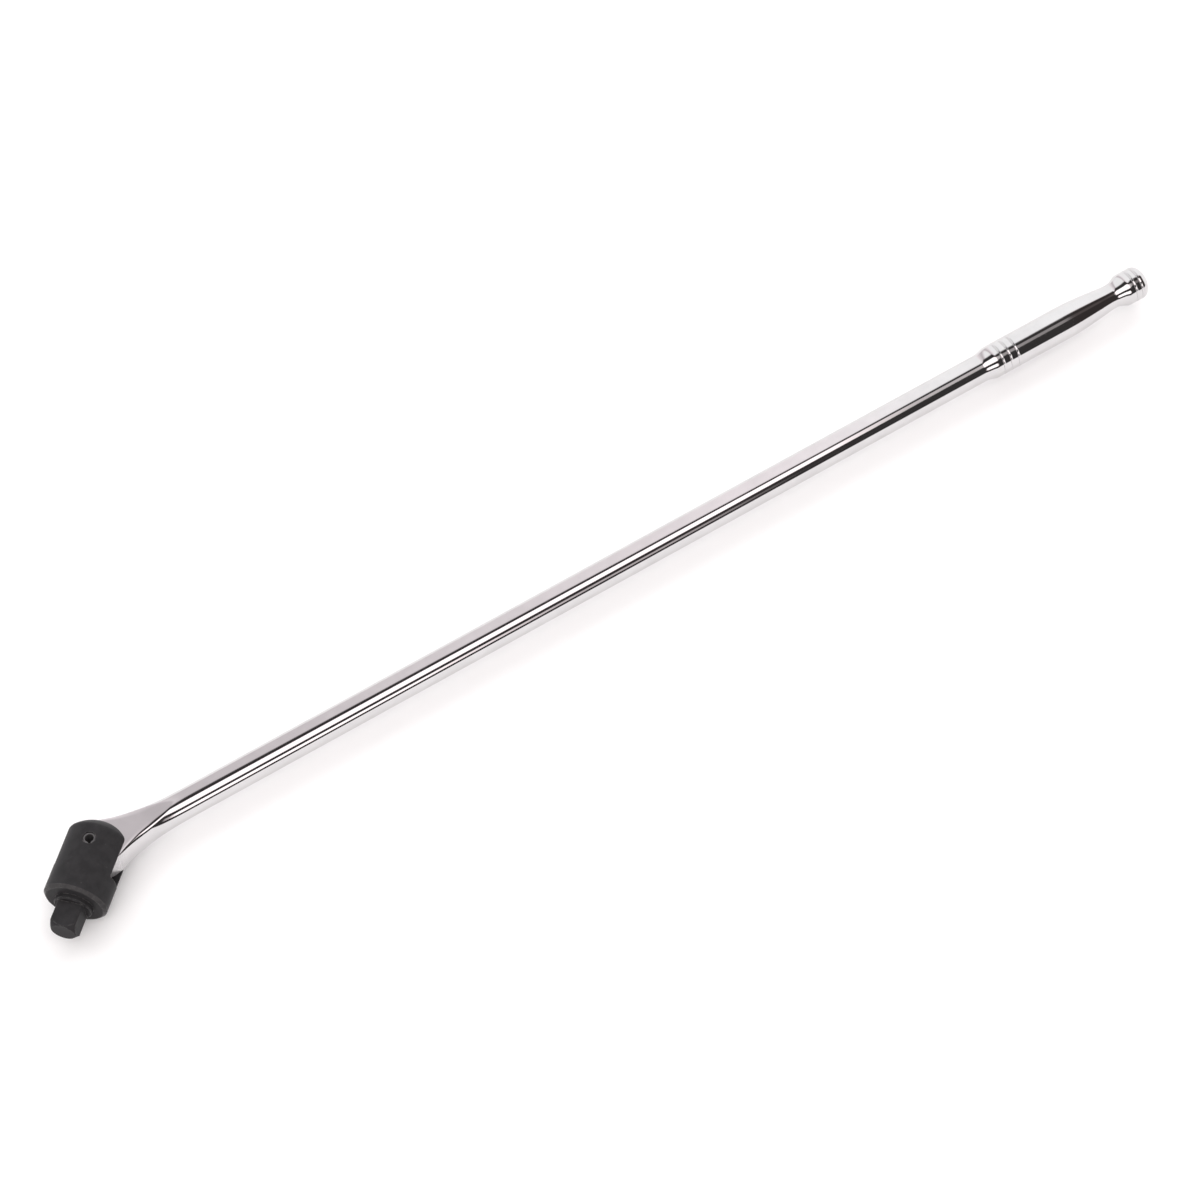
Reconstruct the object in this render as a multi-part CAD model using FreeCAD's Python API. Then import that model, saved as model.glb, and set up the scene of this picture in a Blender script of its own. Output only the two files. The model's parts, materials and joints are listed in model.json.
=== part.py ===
import FreeCAD, Part
import math
import os

# A flex-head breaker bar: a one-piece chromed handle whose flat tongue is pinned
# between the two ears of a black clevis head that carries the drive square.
# Millimetres. The parts are drawn about the hinge pin: the handle runs along +X and
# the pin along Z. The head is drawn straight, along -X, and then swung to its angle.
# At the end everything is stood on Z = 0 with its footprint centred on the origin.

# ------------------------------------------------------------- driving sizes

SQUARE_ACROSS_FLATS = 19.05       # three-quarter inch drive
SHAFT_RADIUS = 11.1
GRIP_RADIUS = 13.2                # the knob is as thick as the grip
BAR_REACH = 927.3                 # pin centre to the end of the knob
HEAD_RADIUS = 23.9
HEAD_ANGLE = 42.4                 # the head's swing from straight, degrees
EAR_GAP = 22.0                    # width of the slot between the ears

# ------------------------------------------------------------- head

SIDE_TOP = 11.3                   # the straight side ends here, above the pin
DOME_TOP = 23.4
DOME_EDGE_RADIUS = 6.0            # softens the edge between dome and side
SLOT_FLOOR = 20.0                 # from the pin down to the flat floor of the slot
SLOT_CORNER = 1.2
SIDE_BOTTOM = 39.8                # the straight side ends here, below the pin
RIM_CHAMFER = 2.0
BOSS_RADIUS = 14.4
BOSS_HEIGHT = 4.0
BOSS_CHAMFER = 0.8
SQUARE_LENGTH = 19.8
SQUARE_CORNER = 1.3               # radius along the square's long edges
SQUARE_END_RADIUS = 9.0           # radius that the turned cone leaves flat on the end
SQUARE_END_SLOPE = 0.95           # the cone's gain in radius per millimetre of length

# ------------------------------------------------------------- hinge pin

PIN_RADIUS = 4.7
PIN_WALL = 1.4
PIN_SLOT = 2.0
PIN_HALF_LENGTH = 23.0
PIN_CHAMFER = 0.5
PIN_SLOT_ANGLE = -115.0           # direction of the open side, degrees about Z
TONGUE_HOLE_RADIUS = 4.78

# ------------------------------------------------------------- handle

TONGUE_HALF_THICKNESS = 10.8
TONGUE_RADIUS = 19.0
TONGUE_EDGE = 0.8
FLAT_END = 58.0                   # the tongue's flats start to rise out here
FLAT_RUNOUT_END = 80.0            # by here the flats have risen clear of the shaft
FLAT_RUNOUT_CLEARANCE = 0.2
NECK_SECTIONS = (                 # station, half width across, half height
    (0.0, 18.8, 29.0),
    (6.0, 18.6, 28.6),
    (12.0, 18.0, 27.4),
    (17.0, 16.8, 25.4),
    (22.5, 15.3, 23.2),
    (28.5, 14.0, 20.8),
    (36.0, 12.85, 18.0),
    (44.0, 12.1, 15.5),
    (52.0, 11.6, 13.6),
    (60.0, 11.3, 12.3),
    (70.0, 11.15, 11.4),
    (82.0, SHAFT_RADIUS, SHAFT_RADIUS),
    (92.0, SHAFT_RADIUS, SHAFT_RADIUS),
)
COLLAR_FLARE = (                  # station, radius
    (768.0, SHAFT_RADIUS),
    (773.5, 11.4),
    (777.5, 12.2),
    (780.5, 12.95),
    (783.5, GRIP_RADIUS),
)
GRIP_TAPER = (
    (846.0, GRIP_RADIUS),
    (858.0, 13.0),
    (870.0, 12.2),
    (882.0, 11.05),
    (890.0, 10.15),
    (895.5, 9.8),
    (899.5, 10.25),
    (903.0, 11.6),
    (906.0, 12.9),
    (908.8, GRIP_RADIUS),
)
KNOB_EDGE = 918.9                 # the knob's rounded end starts here
KNOB_CORNER = 6.5                 # radius where the knob's side turns into its end
COLLAR_GROOVES = (787.5, 794.2, 801.0)
KNOB_GROOVES = (912.6, 917.9)
GROOVE_RADIUS = 1.0
GROOVE_DEPTH = 0.6

# ------------------------------------------------------------- balls and springs

FRICTION_BALL_RADIUS = 3.15
FRICTION_BORE_RADIUS = 3.25
FRICTION_BORE_DEPTH = 13.0
FRICTION_BALL_GAP = 0.3           # the ball is drawn this far off the tongue's rim
FRICTION_WIRE_RADIUS = 0.45
FRICTION_COIL_RADIUS = 2.5
FRICTION_COILS = 4.5

DETENT_BALL_RADIUS = 2.5
DETENT_PROUD = 1.2                # how far the ball stands out of the square's face
DETENT_FROM_END = 10.0
DETENT_BORE_RADIUS = 2.6
DETENT_BORE_DEPTH = 13.0
DETENT_LIP_RADIUS = 2.42          # the mouth is peened in to hold the ball
DETENT_LIP_THICKNESS = 0.4
DETENT_WIRE_RADIUS = 0.35
DETENT_COIL_RADIUS = 2.0
DETENT_COILS = 5.5

DRILL_POINT_ANGLE = 59.0          # half angle of a drill's point, degrees
SEAT_GAP = 0.03                   # clearance where a spring meets its seat
OVERCUT = 1.0                     # cutters reach this far past what they cut
ALIGNED = 0.5                     # an edge runs along an axis if its cosine is over this
SAME_PLACE = 0.1                  # two stations closer than this are the same
FACET_SIZE = 0.02                 # fineness of the mesh the extents are read from

X_AXIS = FreeCAD.Vector(1, 0, 0)
Y_AXIS = FreeCAD.Vector(0, 1, 0)
Z_AXIS = FreeCAD.Vector(0, 0, 1)
ORIGIN = FreeCAD.Vector(0, 0, 0)


# ------------------------------------------------------------- shape helpers

def at(station, radius):
    """A point of a turned outline: a station along X and a radius."""
    return FreeCAD.Vector(station, radius, 0)


def line(start, end):
    return Part.LineSegment(start, end).toShape()


def arc(start, middle, end):
    return Part.Arc(start, middle, end).toShape()


def flowing_curve(points, first_slope, last_slope):
    """A smooth curve through the points with the given end directions."""
    curve = Part.BSplineCurve()
    curve.interpolate(
        Points=[at(*point) for point in points],
        InitialTangent=first_slope,
        FinalTangent=last_slope,
    )
    return curve.toShape()


def turned(edges):
    """Turn a closed outline about the X axis."""
    wire = Part.Wire(Part.__sortEdges__(edges))
    return Part.makeSolid(Part.Face(wire).revolve(ORIGIN, X_AXIS, 360))


def drilled_hole(mouth, direction, radius, depth):
    """A blind hole with a drill point, as a cutter."""
    point = radius / math.tan(math.radians(DRILL_POINT_ANGLE))
    inward = FreeCAD.Vector(direction).normalize()
    bore = Part.makeCylinder(radius, depth, mouth, inward)
    cone = Part.makeCone(radius, 0, point, mouth + inward * depth, inward)
    return bore.fuse(cone).removeSplitter()


def coil_spring(base, direction, length, coil_radius, wire_radius, coils):
    """A round-wire compression spring with ground ends, standing on base."""
    pitch = length / coils
    path = Part.makeHelix(pitch, length + 2 * wire_radius, coil_radius)
    start = path.Edges[0].valueAt(path.Edges[0].FirstParameter)
    tangent = path.Edges[0].tangentAt(path.Edges[0].FirstParameter)
    section = Part.Wire(Part.makeCircle(wire_radius, start, tangent))
    wire = Part.Wire(path).makePipeShell([section], True, True)
    ground = Part.makeCylinder(
        coil_radius + 2 * wire_radius, length, FreeCAD.Vector(0, 0, wire_radius), Z_AXIS
    )
    spring = wire.common(ground)
    spring.translate(FreeCAD.Vector(0, 0, -wire_radius))
    turn = FreeCAD.Rotation(Z_AXIS, direction)
    spring.Placement = FreeCAD.Placement(base, turn).multiply(spring.Placement)
    return max(spring.Solids, key=lambda solid: solid.Volume)


# ------------------------------------------------------------- stations on the head

def shoulder_station():
    return -(SIDE_BOTTOM + RIM_CHAMFER)


def boss_station():
    return shoulder_station() - BOSS_HEIGHT


def tip_station():
    return boss_station() - SQUARE_LENGTH


def detent_station():
    return tip_station() + DETENT_FROM_END


def friction_ball_centre():
    reach = TONGUE_RADIUS + FRICTION_BALL_GAP + FRICTION_BALL_RADIUS
    return FreeCAD.Vector(-reach, 0, 0)


def detent_ball_centre():
    height = -SQUARE_ACROSS_FLATS / 2 - DETENT_PROUD + DETENT_BALL_RADIUS
    return FreeCAD.Vector(detent_station(), 0, height)


# ------------------------------------------------------------- drive head

def head_blank():
    """The turned body: dome, straight side, chamfered rim and the boss below it."""
    shoulder = shoulder_station()
    boss = boss_station()
    rise = DOME_TOP - SIDE_TOP
    dome_radius = (HEAD_RADIUS ** 2 + rise ** 2) / (2 * rise)
    dome_centre = DOME_TOP - dome_radius
    half_angle = math.asin(HEAD_RADIUS / dome_radius) / 2
    dome_middle = at(
        dome_centre + dome_radius * math.cos(half_angle),
        dome_radius * math.sin(half_angle),
    )
    side_top = at(SIDE_TOP, HEAD_RADIUS)
    side_bottom = at(-SIDE_BOTTOM, HEAD_RADIUS)
    rim_inner = at(shoulder, HEAD_RADIUS - RIM_CHAMFER)
    boss_root = at(shoulder, BOSS_RADIUS)
    boss_edge = at(boss + BOSS_CHAMFER, BOSS_RADIUS)
    boss_face = at(boss, BOSS_RADIUS - BOSS_CHAMFER)
    blank = turned([
        arc(at(DOME_TOP, 0), dome_middle, side_top),
        line(side_top, side_bottom),
        line(side_bottom, rim_inner),
        line(rim_inner, boss_root),
        line(boss_root, boss_edge),
        line(boss_edge, boss_face),
        line(boss_face, at(boss, 0)),
        line(at(boss, 0), at(DOME_TOP, 0)),
    ])
    dome_edge = [
        edge for edge in blank.Edges
        if edge.Closed and abs(edge.CenterOfMass.x - SIDE_TOP) < SAME_PLACE
    ]
    return blank.makeFillet(DOME_EDGE_RADIUS, dome_edge)


def drive_square():
    """The square tang with softened corners and a turned cone on its end."""
    side = SQUARE_ACROSS_FLATS
    root = boss_station() + OVERCUT
    length = root - tip_station()
    tang = Part.makeBox(
        length, side, side, FreeCAD.Vector(tip_station(), -side / 2, -side / 2)
    )
    long_edges = [edge for edge in tang.Edges if abs(edge.tangentAt(0).x) > ALIGNED]
    tang = tang.makeFillet(SQUARE_CORNER, long_edges)
    cone = Part.makeCone(
        SQUARE_END_RADIUS,
        SQUARE_END_RADIUS + SQUARE_END_SLOPE * length,
        length,
        FreeCAD.Vector(tip_station(), 0, 0),
        X_AXIS,
    )
    return tang.common(cone)


def ear_slot():
    """The slot between the ears, with a flat floor and small corner radii."""
    reach = HEAD_RADIUS + OVERCUT
    slot = Part.makeBox(
        SLOT_FLOOR + DOME_TOP + OVERCUT,
        2 * reach,
        EAR_GAP,
        FreeCAD.Vector(-SLOT_FLOOR, -reach, -EAR_GAP / 2),
    )
    corners = [
        edge for edge in slot.Edges
        if abs(edge.tangentAt(0).y) > ALIGNED and edge.CenterOfMass.x < 0
    ]
    return slot.makeFillet(SLOT_CORNER, corners)


def detent_bore():
    """The cross hole for the socket ball, with its peened-in mouth."""
    face = FreeCAD.Vector(detent_station(), 0, -SQUARE_ACROSS_FLATS / 2)
    under_lip = face + Z_AXIS * DETENT_LIP_THICKNESS
    bore = drilled_hole(under_lip, Z_AXIS, DETENT_BORE_RADIUS, DETENT_BORE_DEPTH)
    mouth = Part.makeCylinder(
        DETENT_LIP_RADIUS,
        DETENT_LIP_THICKNESS + 2 * OVERCUT,
        face - Z_AXIS * OVERCUT,
        Z_AXIS,
    )
    return bore.fuse(mouth)


def drive_head():
    body = head_blank().fuse(drive_square())
    body = body.cut(ear_slot())
    reach = HEAD_RADIUS + OVERCUT
    body = body.cut(
        Part.makeCylinder(PIN_RADIUS, 2 * reach, FreeCAD.Vector(0, 0, -reach), Z_AXIS)
    )
    floor = FreeCAD.Vector(-SLOT_FLOOR + OVERCUT, 0, 0)
    body = body.cut(
        drilled_hole(floor, -X_AXIS, FRICTION_BORE_RADIUS, FRICTION_BORE_DEPTH + OVERCUT)
    )
    return body.cut(detent_bore()).removeSplitter()


# ------------------------------------------------------------- hinge pin

def hinge_pin():
    """A rolled spring pin: a tube open along one side."""
    length = 2 * PIN_HALF_LENGTH
    base = FreeCAD.Vector(0, 0, -PIN_HALF_LENGTH)
    rod = Part.makeCylinder(PIN_RADIUS, length, base, Z_AXIS)
    rod = rod.makeChamfer(PIN_CHAMFER, [edge for edge in rod.Edges if edge.Closed])
    tube = rod.cut(Part.makeCylinder(PIN_RADIUS - PIN_WALL, length, base, Z_AXIS))
    opening = Part.makeBox(
        PIN_RADIUS + OVERCUT,
        PIN_SLOT,
        length + 2 * OVERCUT,
        FreeCAD.Vector(0, -PIN_SLOT / 2, -PIN_HALF_LENGTH - OVERCUT),
    )
    opening.rotate(ORIGIN, Z_AXIS, PIN_SLOT_ANGLE)
    return tube.cut(opening)


# ------------------------------------------------------------- handle

def neck_section(station, half_width, half_height):
    """One elliptical cross-section of the forged neck."""
    centre = FreeCAD.Vector(station, 0, 0)
    if half_width >= half_height:
        across = FreeCAD.Vector(station, half_width, 0)
        up = FreeCAD.Vector(station, 0, half_height)
    else:
        across = FreeCAD.Vector(station, 0, half_height)
        up = FreeCAD.Vector(station, -half_width, 0)
    if half_width == half_height:
        return Part.Wire(Part.makeCircle(half_width, centre, X_AXIS))
    return Part.Wire(Part.Ellipse(across, up, centre).toShape())


def tongue_and_neck():
    """The forged end: an eye and a neck that goes from oval to round, cut flat."""
    neck = Part.makeLoft([neck_section(*row) for row in NECK_SECTIONS], True)
    eye = Part.makeCylinder(
        TONGUE_RADIUS,
        2 * TONGUE_HALF_THICKNESS,
        FreeCAD.Vector(0, 0, -TONGUE_HALF_THICKNESS),
        Z_AXIS,
    )
    eye = eye.makeChamfer(TONGUE_EDGE, [edge for edge in eye.Edges if edge.Closed])
    for side in (1, -1):
        neck = neck.cut(flat_cutter(side))
    return neck.fuse(eye)


def flat_cutter(side):
    """What is milled off one face of the tongue, with the cutter's slow run-out."""
    reach = 2 * TONGUE_RADIUS
    level = side * TONGUE_HALF_THICKNESS
    risen = side * (SHAFT_RADIUS + FLAT_RUNOUT_CLEARANCE)
    clear = side * reach
    outline = Part.makePolygon([
        FreeCAD.Vector(-TONGUE_RADIUS, -reach, level),
        FreeCAD.Vector(FLAT_END, -reach, level),
        FreeCAD.Vector(FLAT_RUNOUT_END, -reach, risen),
        FreeCAD.Vector(FLAT_RUNOUT_END, -reach, clear),
        FreeCAD.Vector(-TONGUE_RADIUS, -reach, clear),
        FreeCAD.Vector(-TONGUE_RADIUS, -reach, level),
    ])
    return Part.Face(outline).extrude(Y_AXIS * 2 * reach)


def shaft_and_grip():
    """The turned length: shaft, collar flare, barrelled grip, neck and knob."""
    neck_end = NECK_SECTIONS[-1][0]
    outline = [
        line(at(neck_end, 0), at(neck_end, SHAFT_RADIUS)),
        line(at(neck_end, SHAFT_RADIUS), at(COLLAR_FLARE[0][0], SHAFT_RADIUS)),
        flowing_curve(COLLAR_FLARE, X_AXIS, X_AXIS),
        line(at(*COLLAR_FLARE[-1]), at(*GRIP_TAPER[0])),
        flowing_curve(GRIP_TAPER, X_AXIS, X_AXIS),
        line(at(*GRIP_TAPER[-1]), at(KNOB_EDGE, GRIP_RADIUS)),
        *knob_end_arcs(),
        line(at(BAR_REACH, 0), at(neck_end, 0)),
    ]
    body = turned(outline)
    for station in COLLAR_GROOVES + KNOB_GROOVES:
        body = body.cut(ring_groove(station))
    return body


def on_circle(centre, radius, angle):
    return centre + FreeCAD.Vector(math.cos(angle), math.sin(angle), 0) * radius


def knob_end_arcs():
    """The knob's end: a corner arc running smoothly into a flatter crown."""
    length = BAR_REACH - KNOB_EDGE
    inset = GRIP_RADIUS - KNOB_CORNER
    crown = (length ** 2 + inset ** 2 - KNOB_CORNER ** 2) / (2 * (length - KNOB_CORNER))
    corner_centre = at(KNOB_EDGE, inset)
    crown_centre = at(BAR_REACH - crown, 0)
    meeting = math.atan2(inset, crown - length)
    side = math.pi / 2
    joint = on_circle(crown_centre, crown, meeting)
    return [
        arc(
            at(KNOB_EDGE, GRIP_RADIUS),
            on_circle(corner_centre, KNOB_CORNER, (side + meeting) / 2),
            joint,
        ),
        arc(joint, on_circle(crown_centre, crown, meeting / 2), at(BAR_REACH, 0)),
    ]


def ring_groove(station):
    """A round-bottomed groove turned into the grip."""
    centre_radius = GRIP_RADIUS + GROOVE_RADIUS - GROOVE_DEPTH
    return Part.makeTorus(
        centre_radius, GROOVE_RADIUS, FreeCAD.Vector(station, 0, 0), X_AXIS
    )


def handle_bar():
    bar = tongue_and_neck().fuse(shaft_and_grip())
    reach = TONGUE_HALF_THICKNESS + OVERCUT
    hole = Part.makeCylinder(
        TONGUE_HOLE_RADIUS, 2 * reach, FreeCAD.Vector(0, 0, -reach), Z_AXIS
    )
    return bar.cut(hole).removeSplitter()


# ------------------------------------------------------------- balls and springs

def friction_ball():
    return Part.makeSphere(FRICTION_BALL_RADIUS, friction_ball_centre())


def friction_spring():
    """Stands on the floor of its bore and pushes the ball at the tongue."""
    inner = FRICTION_COIL_RADIUS - FRICTION_WIRE_RADIUS
    seat = math.sqrt(FRICTION_BALL_RADIUS ** 2 - inner ** 2)
    top = friction_ball_centre().x - seat - SEAT_GAP
    bottom = -SLOT_FLOOR - FRICTION_BORE_DEPTH + SEAT_GAP
    return coil_spring(
        FreeCAD.Vector(bottom, 0, 0),
        X_AXIS,
        top - bottom,
        FRICTION_COIL_RADIUS,
        FRICTION_WIRE_RADIUS,
        FRICTION_COILS,
    )


def detent_ball():
    return Part.makeSphere(DETENT_BALL_RADIUS, detent_ball_centre())


def detent_spring():
    """Stands on the floor of the cross hole and pushes the socket ball out."""
    inner = DETENT_COIL_RADIUS - DETENT_WIRE_RADIUS
    seat = math.sqrt(DETENT_BALL_RADIUS ** 2 - inner ** 2)
    near = detent_ball_centre().z + seat + SEAT_GAP
    face = -SQUARE_ACROSS_FLATS / 2
    far = face + DETENT_LIP_THICKNESS + DETENT_BORE_DEPTH - SEAT_GAP
    return coil_spring(
        FreeCAD.Vector(detent_station(), 0, near),
        Z_AXIS,
        far - near,
        DETENT_COIL_RADIUS,
        DETENT_WIRE_RADIUS,
        DETENT_COILS,
    )


# ------------------------------------------------------------- assembly

def swung(shape):
    """Swing a piece of the head about the pin to its resting angle."""
    moved = shape.copy()
    moved.rotate(ORIGIN, Z_AXIS, HEAD_ANGLE)
    return moved


def assembly():
    return {
        "handle_bar": handle_bar(),
        "drive_head": swung(drive_head()),
        "hinge_pin": hinge_pin(),
        "friction_ball": swung(friction_ball()),
        "friction_spring": swung(friction_spring()),
        "detent_ball": swung(detent_ball()),
        "detent_spring": swung(detent_spring()),
    }


def standing_offset(shapes):
    """The shift that centres the footprint on the origin and rests it on Z = 0."""
    points = []
    for shape in shapes.values():
        points += shape.tessellate(FACET_SIZE)[0]
    across = [point.x for point in points]
    along = [point.y for point in points]
    lowest = min(point.z for point in points)
    return FreeCAD.Vector(
        -(min(across) + max(across)) / 2, -(min(along) + max(along)) / 2, -lowest
    )


def main():
    shapes = assembly()
    offset = standing_offset(shapes)
    os.makedirs("parts", exist_ok=True)
    for node, shape in shapes.items():
        placed = shape.copy()
        placed.translate(offset)
        placed.exportStep(f"parts/{node}.step")
        print(node, "valid", placed.isValid(), "solids", len(placed.Solids),
              "volume", round(placed.Volume, 1))
    print("hinge pin centre", [round(value, 4) for value in offset])


main()
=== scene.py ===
import json
import math

import bmesh
import bpy
import numpy as np
from mathutils import Matrix, Vector


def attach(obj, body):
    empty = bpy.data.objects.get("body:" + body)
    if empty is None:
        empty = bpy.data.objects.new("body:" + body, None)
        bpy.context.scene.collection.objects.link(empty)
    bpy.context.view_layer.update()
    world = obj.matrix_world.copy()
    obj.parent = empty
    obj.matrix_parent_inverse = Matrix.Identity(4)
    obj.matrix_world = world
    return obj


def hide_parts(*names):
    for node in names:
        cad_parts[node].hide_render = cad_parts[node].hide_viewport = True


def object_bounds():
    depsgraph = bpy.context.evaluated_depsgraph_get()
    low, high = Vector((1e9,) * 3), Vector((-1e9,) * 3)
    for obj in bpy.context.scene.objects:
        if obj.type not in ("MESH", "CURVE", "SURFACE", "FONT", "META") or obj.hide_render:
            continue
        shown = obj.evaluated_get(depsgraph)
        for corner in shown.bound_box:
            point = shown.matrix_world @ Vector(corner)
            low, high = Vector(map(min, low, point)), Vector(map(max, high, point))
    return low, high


# The looks of a flex-head breaker bar: a mirror chrome handle and a black phosphated head
# on a white light table. The chrome mirrors a pale studio tent, with a dark gap over the
# bar and two long lamps in the gap. A softbox lights the matte parts and stays out of the
# chrome. Metres, in the CAD frame.

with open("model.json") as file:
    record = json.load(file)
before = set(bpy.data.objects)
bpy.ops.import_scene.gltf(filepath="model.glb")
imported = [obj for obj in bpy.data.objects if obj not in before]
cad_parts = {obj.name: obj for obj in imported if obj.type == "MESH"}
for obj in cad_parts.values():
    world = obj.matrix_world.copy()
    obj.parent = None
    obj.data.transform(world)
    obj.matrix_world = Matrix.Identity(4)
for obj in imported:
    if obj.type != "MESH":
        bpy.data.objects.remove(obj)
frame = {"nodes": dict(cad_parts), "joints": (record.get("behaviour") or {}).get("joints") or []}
cad_low, cad_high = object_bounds()
joints = {joint["name"]: joint for joint in frame["joints"]}
hinge = Vector(joints["head_swing"]["pos_m"])

MILLIMETRE = 0.001

# ------------------------------------------------------------- camera

CAMERA_AIM = Vector((0.41673, -0.01787, 0.0002))   # from the hinge, on the handle's level
CAMERA_DISTANCE = 2.7625
CAMERA_AZIMUTH = -27.15
CAMERA_ELEVATION = 57.21
CAMERA_ROLL = -5.49
CAMERA_LENS = 111.4
CAMERA_SENSOR = 36.0

# ------------------------------------------------------------- light table and softbox

FLOOR_HALF_SIZE = 12.0
FLOOR_ALBEDO = 0.85
FLOOR_MOTTLE = 0.02
FLOOR_MOTTLE_SCALE = 9.0
FLOOR_GLOW = 0.12

SOFTBOX_SIZE = 5.0
SOFTBOX_HEIGHT = 2.5
SOFTBOX_POWER = 56.0

# ------------------------------------------------------------- tent
# The tent is painted by direction. "along" is a direction's share along the bar (+X), from
# -1 to 1. "tilt" is its angle about the bar in degrees: 0 is straight up, and 90 is level,
# towards -Y. A fade is (start, end, value at the start, value at the end), and it runs
# along the bar. A reach is (start, end, softness of both ends), also along the bar.

TENT_FADE = (0.10, 0.33, 0.74, 1.28)             # brightness, rising towards the grip
FLARE_LIFT_FADE = (-0.05, 0.065, 0.5, 0.0)       # added where the flares and grooves look
FLARE_LIFT_START = (-0.62, -0.48, 0.0, 1.0)

GAP_BRIGHTNESS = 0.045
GAP_START_FADE = (0.13, 0.31, -15.0, 4.0)        # tilt at which the gap starts
GAP_START_DROP = (0.34, 0.385, 0.0, 9.0)
GAP_START_BLUR = 5.0
GAP_END = (87.0, 91.0)
GAP_REACH = (-0.95, 0.80, 0.05)

LAMP_REACH = (-0.92, 0.60, 0.03)
WIDE_LAMP_EDGES = ((0.13, 0.35, 10.5, 17.5), (0.33, 0.37, 42.5, 35.0))     # tilt of each edge
WIDE_LAMP_BLUR = 2.0
WIDE_LAMP_FADES = ((0.315, 0.34, 1.9, 0.7), (0.355, 0.375, 1.0, 0.42), (0.385, 0.43, 1.0, 0.2))
THIN_LAMP_EDGES = ((0.13, 0.24, 58.5, 62.0), (0.13, 0.24, 76.5, 75.0))
THIN_LAMP_BLUR = 1.5
THIN_LAMP_FADES = ((0.19, 0.24, 1.9, 0.6), (0.27, 0.305, 1.0, 0.0))

WHITE = (1.0, 1.0, 1.0)
BLUSH = (1.0, 0.935, 0.955)                      # on the tent, over most of the shaft
BLUSH_REACH = (-0.03, 0.33, 0.03)
WARM = (1.0, 0.84, 0.82)                         # in the gap, strongest at the grip
WARM_FADE = (0.38, 0.46, 0.35, 1.0)

# ------------------------------------------------------------- tones of the materials
# A pair of shares is how far a colour swings, darkest and lightest, over its patches.

CHROME = (0.650, 0.640, 0.647)
CHROME_SHARES = (0.97, 1.03)
CHROME_ROUGHNESS = 0.035
HAZE_ROUGHNESS = 0.05
HAIRLINE_ROUGHNESS = 0.08
SATIN_END = (0.008, 0.019)        # from the hinge: the forged eye's satin fades out here
SATIN_ROUGHNESS = 0.16
SATIN_SCATTER = 0.40              # share of the satin that is no mirror at all

PHOSPHATE = (0.0285, 0.0276, 0.0290)
PHOSPHATE_SHARES = (0.88, 1.14)
PHOSPHATE_ROUGHNESS = 0.34
PHOSPHATE_GLOSS = 0.05
PATCH_ROUGHNESS = 0.16
WEAR_POLISH = 0.10                # how much smoother the rubbed edges are
RIM_POLISH = 0.16
WEAR_RADIUS = 1.1 * MILLIMETRE
EDGE_SOFTNESS = 0.4 * MILLIMETRE
WORN_STEEL = (0.42, 0.41, 0.40)
SCUFF_SHARE = 0.07                # how much bare steel shows through
WEAR_SHARE = 0.22
RIM_SHARES = (0.03, 0.07)

HEAD_ANGLE = 42.4                 # the head's swing from straight at rest, degrees
RIM_SPAN = (0.0395, 0.0420)       # the head's turned rim, from the hinge towards the square
RIM_SPAN_BLUR = 0.0004
RIM_RADIUS = (0.0205, 0.0215)

PIN_STEEL = (0.12, 0.117, 0.119)
BALL_STEEL = (0.55, 0.54, 0.53)
WIRE_STEEL = (0.32, 0.31, 0.30)
STEEL_SHARES = (0.8, 1.1)
STEEL_PATCH_ROUGHNESS = 0.15

BEVEL_SAMPLES = 6

# ------------------------------------------------------------- the polished handle's sizes
# In millimetres along the bar from the hinge. It is the CAD handle with its forged edges
# rolled over by the polishing wheel and a finer, smoother surface.

TONGUE_RADIUS = 19.0
TONGUE_HOLE_RADIUS = 4.78
FLAT_LEVEL = ((42.0, 10.8), (72.0, 11.4))            # station, half thickness
NECK_WIDTH = (                                       # station, half width across
    (0.0, 18.8), (6.0, 18.7), (12.0, 18.15), (17.0, 17.0), (22.5, 15.5), (28.5, 14.15),
    (36.0, 12.95), (44.0, 12.15), (52.0, 11.65), (60.0, 11.35), (70.0, 11.15), (82.0, 11.1),
)
NECK_HEIGHT = (                                      # station, half height before the flats
    (0.0, 60.0), (6.0, 54.0), (12.0, 42.0), (17.0, 31.5), (22.5, 24.8), (28.5, 21.0),
    (36.0, 17.6), (44.0, 14.6), (52.0, 12.7), (60.0, 11.7), (70.0, 11.2), (82.0, 11.1),
)
EDGE_ROLL = ((6.0, 1.8), (16.0, 2.6), (44.0, 8.0))   # station, how far the edges roll over
COLLAR_FLARE = (                                     # station, radius
    (771.0, 11.1), (774.5, 11.35), (778.0, 12.15), (780.8, 12.95), (783.6, 13.2),
)
GRIP_TAPER = (                                       # station, radius
    (846.0, 13.2), (858.0, 13.0), (870.0, 12.2), (882.0, 11.05), (890.0, 10.15),
    (895.5, 9.8), (899.5, 10.25), (903.0, 11.6), (906.0, 12.9), (908.8, 13.2),
)
GRIP_RADIUS = 13.2
KNOB_EDGE = 918.9
KNOB_CORNER = 6.5
BAR_REACH = 927.3
GROOVES = (787.5, 794.2, 801.0, 912.6, 917.9)
GROOVE_RADIUS = 1.15
GROOVE_DEPTH = 0.65

POINTS_AROUND = 400
EYE_RINGS = 26
CORNER_RINGS = 14
CROWN_RINGS = 12
GROOVE_RINGS = 13
RING_STEP = 1.0                   # between rings on the neck and the taper
FLARE_STEP = 0.5
SHAFT_START = 100.0
SHAFT_STEP = 40.0
POLE_ANGLE = 0.02                 # the end rings stop this far short of a point, radians
DRILL_SIDES = 72
SHARP_ANGLE = 35.0                # edges sharper than this stay crisp, degrees
SMALLEST_SINE = 1e-6              # these two keep divisions finite
SMALLEST_SPARE = 1e-4


# ------------------------------------------------------------- node helpers

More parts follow.
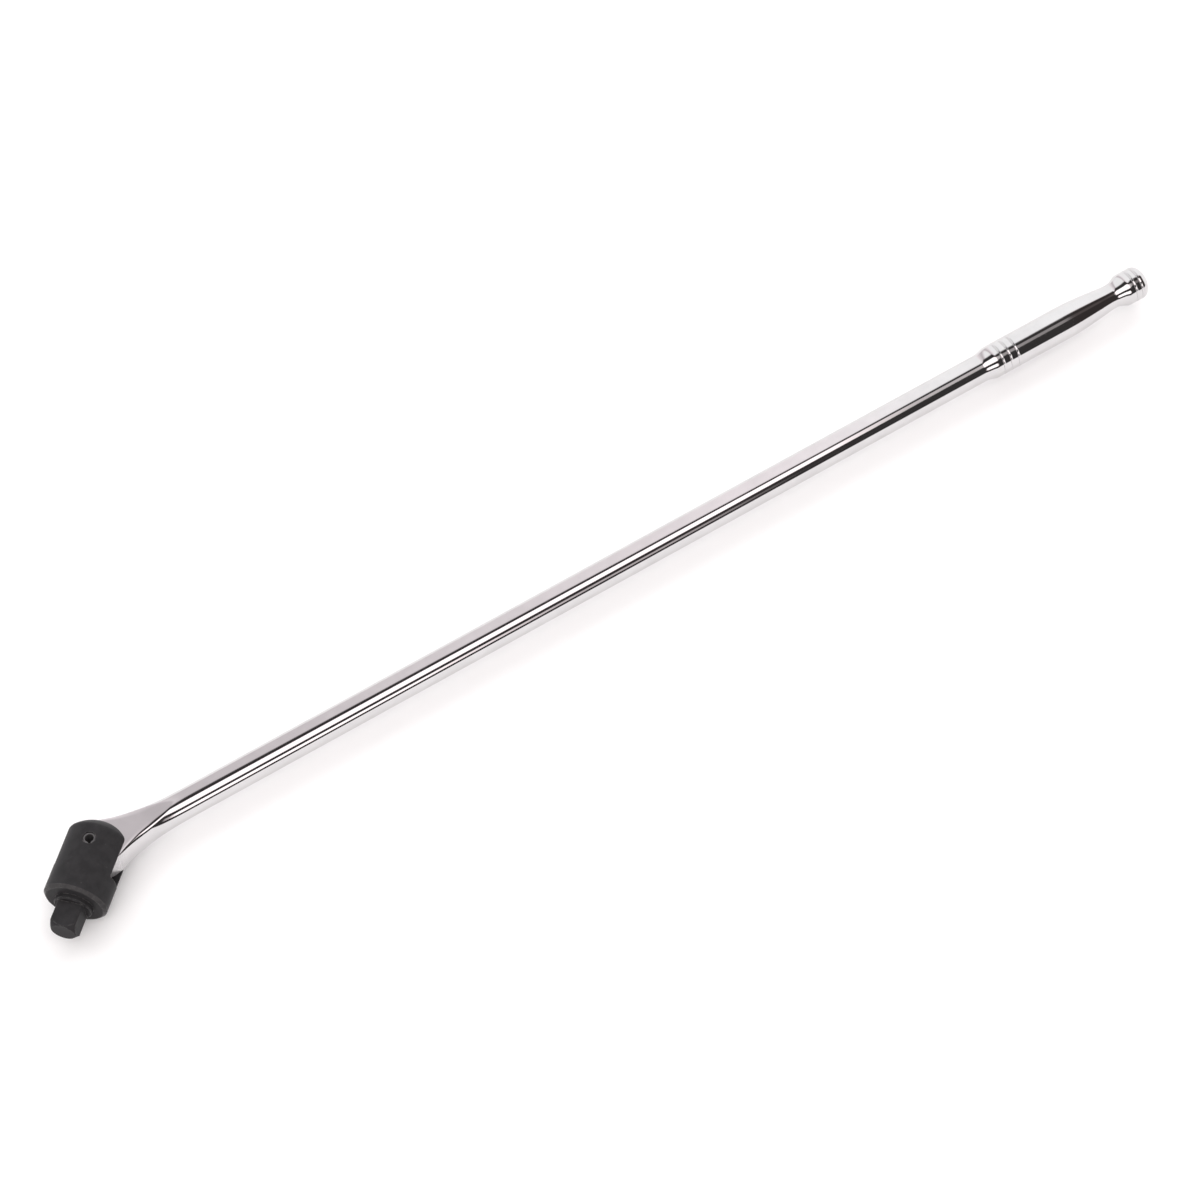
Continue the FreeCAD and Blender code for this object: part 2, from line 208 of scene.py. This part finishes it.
class Graph:
    """Short-hand for building a node tree."""

    def __init__(self, tree):
        self.tree = tree
        tree.nodes.clear()

    def add(self, kind, inputs=None, **settings):
        node = self.tree.nodes.new(kind)
        for name, value in settings.items():
            setattr(node, name, value)
        for name, value in (inputs or {}).items():
            self.feed(node.inputs[name], value)
        return node

    def feed(self, socket, value):
        if isinstance(value, bpy.types.NodeSocket):
            self.tree.links.new(value, socket)
        else:
            socket.default_value = value

    def math(self, operation, first, second=0.0, third=0.0):
        node = self.add("ShaderNodeMath", {0: first, 1: second, 2: third},
                        operation=operation)
        return node.outputs[0]

    def vector(self, operation, first, second=None, output=0):
        inputs = {0: first} if second is None else {0: first, 1: second}
        return self.add("ShaderNodeVectorMath", inputs, operation=operation).outputs[output]

    def ramp(self, value, low, high, out_low=0.0, out_high=1.0):
        """A smooth step from out_low to out_high as value goes from low to high."""
        node = self.add(
            "ShaderNodeMapRange",
            {"Value": value, "From Min": low, "From Max": high,
             "To Min": out_low, "To Max": out_high},
            interpolation_type="SMOOTHSTEP",
        )
        return node.outputs["Result"]

    def slide(self, value, low, high, out_low, out_high):
        """A straight, clamped run from out_low to out_high."""
        node = self.add(
            "ShaderNodeMapRange",
            {"Value": value, "From Min": low, "From Max": high,
             "To Min": out_low, "To Max": out_high},
        )
        return node.outputs["Result"]

    def band(self, value, low, high, blur):
        """1 between low and high, 0 outside, with soft ends."""
        rise = self.ramp(self.math("SUBTRACT", value, low), -blur, blur)
        fall = self.ramp(self.math("SUBTRACT", value, high), -blur, blur, 1.0, 0.0)
        return self.math("MULTIPLY", rise, fall)

    def product(self, first, *others):
        for other in others:
            first = self.math("MULTIPLY", first, other)
        return first

    def blend(self, share, first, second):
        factor, colour_a, colour_b, colour_out = 0, 6, 7, 2      # a mix node's sockets
        node = self.add("ShaderNodeMix", {factor: share}, data_type="RGBA")
        self.feed(node.inputs[colour_a], first)
        self.feed(node.inputs[colour_b], second)
        return node.outputs[colour_out]

    def noise(self, where, scale, detail=3.0, roughness=0.5):
        node = self.add(
            "ShaderNodeTexNoise",
            {"Vector": where, "Scale": scale, "Detail": detail, "Roughness": roughness},
        )
        return node.outputs["Fac"]

    def stretched(self, where, along):
        """Coordinates that draw a pattern out along the bar; along is below 1."""
        node = self.add("ShaderNodeMapping", {"Vector": where, "Scale": (along, 1.0, 1.0)})
        return node.outputs["Vector"]

    def bump(self, height, strength, distance, under=None):
        """A bumped normal, over another one if there is one under it."""
        inputs = {"Height": height, "Strength": strength, "Distance": distance}
        if under is not None:
            inputs["Normal"] = under
        return self.add("ShaderNodeBump", inputs).outputs[0]


def rgba(colour, share=1.0):
    return tuple(channel * share for channel in colour) + (1.0,)


def new_material(name):
    material = bpy.data.materials.new(name)
    material.use_nodes = True
    graph = Graph(material.node_tree)
    place = graph.add("ShaderNodeTexCoord").outputs["Object"]
    return material, graph, place


def finish_material(graph, shader):
    graph.add("ShaderNodeOutputMaterial", {"Surface": shader.outputs[0]})


def patched(graph, share, colour, shares):
    """A colour that swings between its darkest and lightest shares."""
    darkest, lightest = shares
    return graph.blend(share, rgba(colour, darkest), rgba(colour, lightest))


def edge_wear(graph, radius, ragged):
    """1 along sharp edges, broken up by the given noise."""
    rounded = graph.add("ShaderNodeBevel", {"Radius": radius}, samples=BEVEL_SAMPLES)
    flat = graph.add("ShaderNodeNewGeometry").outputs["Normal"]
    facing = graph.vector("DOT_PRODUCT", rounded.outputs[0], flat, "Value")
    turned = graph.ramp(facing, 0.995, 0.90, 0.0, 1.0)
    return graph.math("MULTIPLY", turned, graph.ramp(ragged, 0.38, 0.62))


# ------------------------------------------------------------- materials

def satin_eye(graph, place):
    """1 on the forged eye, 0 where the mirror polish has taken over."""
    across = graph.add("ShaderNodeSeparateXYZ", {0: place})
    station = graph.math("SUBTRACT", across.outputs["X"], hinge.x)
    return graph.ramp(station, *SATIN_END, 1.0, 0.0)


def chrome():
    """Mirror chrome over a polished forging: faint waviness, haze and hairlines."""
    material, graph, place = new_material("handle chrome")
    waves = graph.noise(graph.stretched(place, along=0.25), scale=160.0, detail=2.0)
    grain = graph.noise(graph.stretched(place, along=0.15), scale=2600.0, roughness=0.6)
    scratches = graph.noise(graph.stretched(place, along=0.04), scale=5200.0, detail=1.0)
    hairlines = graph.ramp(scratches, 0.70, 0.80)
    haze = graph.noise(place, scale=45.0, detail=4.0, roughness=0.6)
    satin = satin_eye(graph, place)

    roughness = graph.math("MULTIPLY_ADD", haze, HAZE_ROUGHNESS, CHROME_ROUGHNESS)
    roughness = graph.math("MULTIPLY_ADD", hairlines, HAIRLINE_ROUGHNESS, roughness)
    roughness = graph.math("MULTIPLY_ADD", satin, SATIN_ROUGHNESS, roughness)
    swell = graph.bump(waves, strength=0.10, distance=0.06 * MILLIMETRE)
    shader = graph.add("ShaderNodeBsdfPrincipled", {
        "Base Color": patched(graph, graph.ramp(haze, 0.3, 0.7), CHROME, CHROME_SHARES),
        "Metallic": graph.math("MULTIPLY_ADD", satin, -SATIN_SCATTER, 1.0),
        "Roughness": roughness,
        "Normal": graph.bump(grain, strength=0.15, distance=0.004 * MILLIMETRE, under=swell),
    })
    finish_material(graph, shader)
    return material


def turned_rim(graph, place):
    """1 on the chamfer round the head's lower rim."""
    swing = math.radians(HEAD_ANGLE)
    axis = Vector((-math.cos(swing), -math.sin(swing), 0.0))
    out = graph.vector("SUBTRACT", place, hinge)
    along = graph.vector("DOT_PRODUCT", out, axis, "Value")
    length = graph.vector("LENGTH", out, output="Value")
    radius = graph.math("SQRT", graph.math("SUBTRACT", graph.math("MULTIPLY", length, length),
                                           graph.math("MULTIPLY", along, along)))
    return graph.product(
        graph.band(along, *RIM_SPAN, RIM_SPAN_BLUR),
        graph.ramp(radius, *RIM_RADIUS),
    )


def phosphate():
    """Matte black phosphate with a fine crystal grain and rubbed edges."""
    material, graph, place = new_material("head black")
    crystals = graph.noise(place, scale=2400.0, detail=4.0, roughness=0.65)
    patches = graph.noise(place, scale=120.0, detail=4.0, roughness=0.6)
    scuffs = graph.ramp(graph.noise(place, scale=310.0, detail=5.0, roughness=0.7), 0.62, 0.74)
    ragged = graph.noise(place, scale=420.0, roughness=0.6)
    wear = edge_wear(graph, WEAR_RADIUS, ragged)
    rim = turned_rim(graph, place)

    scuffed = graph.math("MULTIPLY", scuffs, SCUFF_SHARE)
    worn = graph.math("MULTIPLY", wear, WEAR_SHARE)
    turned = graph.math("MULTIPLY", rim, graph.ramp(patches, 0.3, 0.6, *RIM_SHARES))
    rubbed = graph.math("MAXIMUM", graph.math("MAXIMUM", scuffed, worn), turned)
    black = patched(graph, graph.ramp(patches, 0.3, 0.7), PHOSPHATE, PHOSPHATE_SHARES)

    roughness = graph.math("MULTIPLY_ADD", patches, PATCH_ROUGHNESS, PHOSPHATE_ROUGHNESS)
    roughness = graph.math("MULTIPLY_ADD", wear, -WEAR_POLISH, roughness)
    roughness = graph.math("MULTIPLY_ADD", rim, -RIM_POLISH, roughness)
    soft_edges = graph.add("ShaderNodeBevel", {"Radius": EDGE_SOFTNESS}, samples=BEVEL_SAMPLES)
    shader = graph.add("ShaderNodeBsdfPrincipled", {
        "Base Color": graph.blend(rubbed, black, rgba(WORN_STEEL)),
        "Metallic": rubbed,
        "Roughness": roughness,
        "Specular IOR Level": PHOSPHATE_GLOSS,
        "Normal": graph.bump(crystals, strength=0.35, distance=0.03 * MILLIMETRE,
                             under=soft_edges.outputs[0]),
    })
    finish_material(graph, shader)
    return material


def bare_steel(name, colour, roughness, grain_scale, metallic=1.0):
    """Plain steel with a fine drawn grain and darker oily patches."""
    material, graph, place = new_material(name)
    grain = graph.noise(place, scale=grain_scale, roughness=0.6)
    patches = graph.noise(place, scale=500.0, roughness=0.6)
    shader = graph.add("ShaderNodeBsdfPrincipled", {
        "Base Color": patched(graph, graph.ramp(patches, 0.35, 0.65), colour, STEEL_SHARES),
        "Metallic": metallic,
        "Roughness": graph.math("MULTIPLY_ADD", patches, STEEL_PATCH_ROUGHNESS, roughness),
        "Normal": graph.bump(grain, strength=0.25, distance=0.01 * MILLIMETRE),
    })
    finish_material(graph, shader)
    return material


def dress(node, material):
    piece = frame["nodes"][node]
    piece.data.materials.clear()
    piece.data.materials.append(material)


def dress_all():
    balls = bare_steel("ball steel", BALL_STEEL, roughness=0.12, grain_scale=900.0)
    wire = bare_steel("spring wire", WIRE_STEEL, roughness=0.28, grain_scale=3000.0)
    pin = bare_steel("pin steel", PIN_STEEL, roughness=0.40, grain_scale=2500.0, metallic=0.4)
    handle_finish = chrome()
    dress("handle_bar", handle_finish)
    polished_handle(handle_finish)
    dress("drive_head", phosphate())
    dress("hinge_pin", pin)
    dress("friction_ball", balls)
    dress("detent_ball", balls)
    dress("friction_spring", wire)
    dress("detent_spring", wire)


# ------------------------------------------------------------- polished handle

def smooth_curve(rows):
    """A cubic through (station, value) rows, level at both ends, as a function."""
    x, y = np.array(rows).T
    step = np.diff(x)
    rise = np.diff(y) / step
    system = np.eye(len(x))
    goal = np.zeros(len(x))
    for i in range(1, len(x) - 1):
        system[i, i - 1:i + 2] = (
            1 / step[i - 1], 2 / step[i - 1] + 2 / step[i], 1 / step[i]
        )
        goal[i] = 3 * (rise[i - 1] / step[i - 1] + rise[i] / step[i])
    slope = np.linalg.solve(system, goal)

    def value(station):
        i = int(np.clip(np.searchsorted(x, station) - 1, 0, len(step) - 1))
        u = float(np.clip((station - x[i]) / step[i], 0.0, 1.0))
        return (
            y[i] * (1 + 2 * u) * (1 - u) ** 2
            + y[i + 1] * u * u * (3 - 2 * u)
            + step[i] * (slope[i] * u * (1 - u) ** 2 - slope[i + 1] * u * u * (1 - u))
        )
    return value


neck_width = smooth_curve(NECK_WIDTH)
neck_height = smooth_curve(NECK_HEIGHT)
flat_level = smooth_curve(FLAT_LEVEL)
edge_roll = smooth_curve(EDGE_ROLL)
collar_flare = smooth_curve(COLLAR_FLARE)
grip_taper = smooth_curve(GRIP_TAPER)


def neck_ring(station):
    """Distances from the axis round one section: an oval between flats, edges rolled."""
    angles = np.linspace(0.0, 2 * math.pi, POINTS_AROUND, endpoint=False)
    width = neck_width(max(station, 0.0))
    if station < 0.0:
        width *= math.sqrt(1.0 - (station / TONGUE_RADIUS) ** 2)
    height = neck_height(max(station, 0.0))
    flat = flat_level(max(station, FLAT_LEVEL[0][0]))
    side = 1 / np.sqrt((np.cos(angles) / width) ** 2 + (np.sin(angles) / height) ** 2)
    face = flat / np.maximum(np.abs(np.sin(angles)), SMALLEST_SINE)
    spare = max(height - flat, SMALLEST_SPARE)
    roll = edge_roll(max(station, EDGE_ROLL[0][0]))
    blend = spare * roll / (spare + roll)
    near = np.maximum(blend - np.abs(side - face), 0.0) / blend
    return np.minimum(side, face) - near ** 2 * blend / 4


def grip_radius(station):
    """The turned outline from the shaft to the knob's edge."""
    if station <= GRIP_TAPER[0][0]:
        radius = collar_flare(max(station, COLLAR_FLARE[0][0]))
    else:
        radius = grip_taper(min(station, GRIP_TAPER[-1][0]))
    for groove in GROOVES:
        inside = GROOVE_RADIUS ** 2 - (station - groove) ** 2
        if inside > 0.0:
            rim = GRIP_RADIUS + GROOVE_RADIUS - GROOVE_DEPTH
            radius = min(radius, rim - math.sqrt(inside))
    return radius


def knob_end():
    """(station, radius) rows round the knob's corner and over its crown."""
    length = BAR_REACH - KNOB_EDGE
    inset = GRIP_RADIUS - KNOB_CORNER
    crown = (length ** 2 + inset ** 2 - KNOB_CORNER ** 2) / (2 * (length - KNOB_CORNER))
    meeting = math.atan2(inset, crown - length)
    corner = [
        (KNOB_EDGE + KNOB_CORNER * math.cos(a), inset + KNOB_CORNER * math.sin(a))
        for a in np.linspace(math.pi / 2, meeting, CORNER_RINGS)
    ]
    top = [
        (BAR_REACH - crown + crown * math.cos(a), crown * math.sin(a))
        for a in np.linspace(meeting, POLE_ANGLE, CROWN_RINGS)[1:]
    ]
    return corner + top


def handle_rings():
    """(station, distances round the section) from the tongue's end to the knob's."""
    eye_angles = np.linspace(POLE_ANGLE, math.pi / 2, EYE_RINGS)[:-1]
    eye = [-TONGUE_RADIUS * math.cos(a) for a in eye_angles]
    neck = np.arange(0.0, NECK_WIDTH[-1][0] + RING_STEP / 2, RING_STEP)
    rings = [(station, neck_ring(station)) for station in [*eye, *neck]]
    round_stations = [
        *np.arange(SHAFT_START, COLLAR_FLARE[0][0], SHAFT_STEP),
        *np.arange(COLLAR_FLARE[0][0], COLLAR_FLARE[-1][0], FLARE_STEP),
        *np.arange(GRIP_TAPER[0][0], GRIP_TAPER[-1][0], RING_STEP),
    ]
    half = math.sqrt(GROOVE_RADIUS ** 2 - (GROOVE_RADIUS - GROOVE_DEPTH) ** 2)
    for groove in GROOVES:
        round_stations += list(groove + np.linspace(-half, half, GROOVE_RINGS))
    turned = sorted(station for station in round_stations if station < KNOB_EDGE)
    circle = np.ones(POINTS_AROUND)
    rings += [(station, circle * grip_radius(station)) for station in turned]
    rings += [(station, circle * radius) for station, radius in knob_end()]
    return rings


def add_ring_mesh(shape, rings):
    """Skins a row of closed rings and caps both ends."""
    angles = np.linspace(0.0, 2 * math.pi, POINTS_AROUND, endpoint=False)
    rows = [
        [
            shape.verts.new(hinge + MILLIMETRE * Vector((station, r * math.cos(a), r * math.sin(a))))
            for r, a in zip(distances, angles)
        ]
        for station, distances in rings
    ]
    for first, second in zip(rows, rows[1:]):
        for i in range(POINTS_AROUND):
            j = (i + 1) % POINTS_AROUND
            shape.faces.new((first[i], first[j], second[j], second[i]))
    shape.faces.new(reversed(rows[0]))
    shape.faces.new(rows[-1])
    bmesh.ops.recalc_face_normals(shape, faces=shape.faces)


def object_from(shape, name):
    mesh = bpy.data.meshes.new(name)
    shape.to_mesh(mesh)
    shape.free()
    piece = bpy.data.objects.new(name, mesh)
    bpy.context.scene.collection.objects.link(piece)
    return piece


def drill_eye(piece):
    """Cuts the hinge pin's hole through the tongue."""
    shape = bmesh.new()
    bmesh.ops.create_cone(
        shape, cap_ends=True, segments=DRILL_SIDES, depth=TONGUE_RADIUS * 2 * MILLIMETRE,
        radius1=TONGUE_HOLE_RADIUS * MILLIMETRE, radius2=TONGUE_HOLE_RADIUS * MILLIMETRE,
        matrix=Matrix.Translation(hinge),
    )
    drill = object_from(shape, "drill")
    cut = piece.modifiers.new("eye", "BOOLEAN")
    cut.operation = "DIFFERENCE"
    cut.object = drill
    drilled = bpy.data.meshes.new_from_object(
        piece.evaluated_get(bpy.context.evaluated_depsgraph_get())
    )
    piece.modifiers.clear()
    piece.data = drilled
    bpy.data.objects.remove(drill)


def smooth_shading(mesh):
    mesh.shade_smooth()
    mesh.set_sharp_from_angle(angle=math.radians(SHARP_ANGLE))


def polished_handle(material):
    shape = bmesh.new()
    add_ring_mesh(shape, handle_rings())
    piece = object_from(shape, "polished_handle")
    drill_eye(piece)
    smooth_shading(piece.data)
    piece.data.materials.append(material)
    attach(piece, "handle")
    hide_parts("handle_bar")


# ------------------------------------------------------------- studio

def table_paint():
    """A faintly mottled white that glows a little."""
    material, graph, place = new_material("floor white")
    mottle = graph.noise(place, scale=FLOOR_MOTTLE_SCALE)
    paint = graph.blend(mottle, rgba(WHITE, FLOOR_ALBEDO), rgba(WHITE, FLOOR_ALBEDO + FLOOR_MOTTLE))
    matte = graph.add("ShaderNodeBsdfDiffuse", {"Color": paint})
    glow = graph.add("ShaderNodeEmission", {"Color": rgba(WHITE), "Strength": FLOOR_GLOW})
    both = graph.add("ShaderNodeAddShader", {0: matte.outputs[0], 1: glow.outputs[0]})
    finish_material(graph, both)
    return material


def light_table():
    """A large white floor under the work, lit up a little from within."""
    half = FLOOR_HALF_SIZE
    level = cad_low.z
    mesh = bpy.data.meshes.new("floor")
    mesh.from_pydata(
        [(-half, -half, level), (half, -half, level), (half, half, level), (-half, half, level)],
        [], [(0, 1, 2, 3)],
    )
    mesh.materials.append(table_paint())
    floor = bpy.data.objects.new("floor", mesh)
    bpy.context.scene.collection.objects.link(floor)


def tent_directions(graph):
    """How far each direction points along the bar, and its tilt about the bar in degrees."""
    where = graph.add("ShaderNodeTexCoord").outputs["Generated"]
    axes = graph.add("ShaderNodeSeparateXYZ", {0: where})
    level = graph.math("MULTIPLY", axes.outputs["Y"], -1.0)
    radians = graph.math("ARCTAN2", level, axes.outputs["Z"])
    return axes.outputs["X"], graph.math("MULTIPLY", radians, math.degrees(1.0))


def dark_gap(graph, along, tilt):
    """1 in the gap over the bar."""
    start = graph.math("SUBTRACT", graph.slide(along, *GAP_START_FADE),
                       graph.slide(along, *GAP_START_DROP))
    past_start = graph.math("SUBTRACT", tilt, start)
    return graph.product(
        graph.ramp(past_start, -GAP_START_BLUR, GAP_START_BLUR),
        graph.ramp(tilt, *GAP_END, 1.0, 0.0),
        graph.band(along, *GAP_REACH),
    )


def long_lamp(graph, along, tilt, edges, blur, fades):
    """The brightness of a lamp that lies between two tilts and fades along the bar."""
    low, high = (graph.slide(along, *edge) for edge in edges)
    return graph.product(
        graph.band(tilt, low, high, blur),
        *(graph.slide(along, *fade) for fade in fades),
        graph.band(along, *LAMP_REACH),
    )


def tent_brightness(graph, along):
    lift = graph.product(graph.slide(along, *FLARE_LIFT_FADE),
                         graph.slide(along, *FLARE_LIFT_START))
    return graph.math("ADD", graph.slide(along, *TENT_FADE), lift)


def tent_colour(graph, along, gap):
    blush = graph.blend(graph.band(along, *BLUSH_REACH), rgba(WHITE), rgba(BLUSH))
    warm = graph.math("MULTIPLY", gap, graph.slide(along, *WARM_FADE))
    return graph.blend(warm, blush, rgba(WARM))


def studio_tent():
    """A pale tent with a dark gap over the work, and two long lamps in the gap."""
    world = bpy.data.worlds.new("tent")
    world.use_nodes = True
    bpy.context.scene.world = world
    graph = Graph(world.node_tree)
    along, tilt = tent_directions(graph)
    gap = dark_gap(graph, along, tilt)
    wide = long_lamp(graph, along, tilt, WIDE_LAMP_EDGES, WIDE_LAMP_BLUR, WIDE_LAMP_FADES)
    thin = long_lamp(graph, along, tilt, THIN_LAMP_EDGES, THIN_LAMP_BLUR, THIN_LAMP_FADES)

    tent = tent_brightness(graph, along)
    shade = graph.math("SUBTRACT", GAP_BRIGHTNESS, tent)
    brightness = graph.math("MULTIPLY_ADD", gap, shade, tent)
    brightness = graph.math("ADD", brightness, graph.math("ADD", wide, thin))
    sky = graph.add("ShaderNodeBackground", {
        "Color": tent_colour(graph, along, gap), "Strength": brightness,
    })
    graph.add("ShaderNodeOutputWorld", {"Surface": sky.outputs[0]})


def softbox():
    """A broad lamp above the work. It lights the matte parts and is kept out of the chrome."""
    data = bpy.data.lights.new("softbox", "AREA")
    data.shape = "SQUARE"
    data.size = SOFTBOX_SIZE
    data.energy = SOFTBOX_POWER
    lamp = bpy.data.objects.new("softbox", data)
    lamp.location = hinge + CAMERA_AIM + Vector((0.0, 0.0, SOFTBOX_HEIGHT))
    lamp.visible_glossy = False
    lamp.visible_camera = False
    bpy.context.scene.collection.objects.link(lamp)


def camera():
    data = bpy.data.cameras.new("camera")
    data.lens = CAMERA_LENS
    data.sensor_width = CAMERA_SENSOR
    data.clip_start = 0.01
    data.clip_end = 100.0
    eye = bpy.data.objects.new("camera", data)
    bpy.context.scene.collection.objects.link(eye)
    azimuth = math.radians(CAMERA_AZIMUTH)
    elevation = math.radians(CAMERA_ELEVATION)
    back = Vector((
        math.sin(azimuth) * math.cos(elevation),
        -math.cos(azimuth) * math.cos(elevation),
        math.sin(elevation),
    ))
    level = back.to_track_quat("Z", "Y").to_matrix().to_4x4()
    roll = Matrix.Rotation(math.radians(CAMERA_ROLL), 4, "Z")
    place = Matrix.Translation(hinge + CAMERA_AIM + back * CAMERA_DISTANCE)
    eye.matrix_world = place @ level @ roll
    bpy.context.scene.camera = eye


dress_all()
light_table()
studio_tent()
softbox()
camera()
bpy.context.scene.view_settings.view_transform = "Standard"
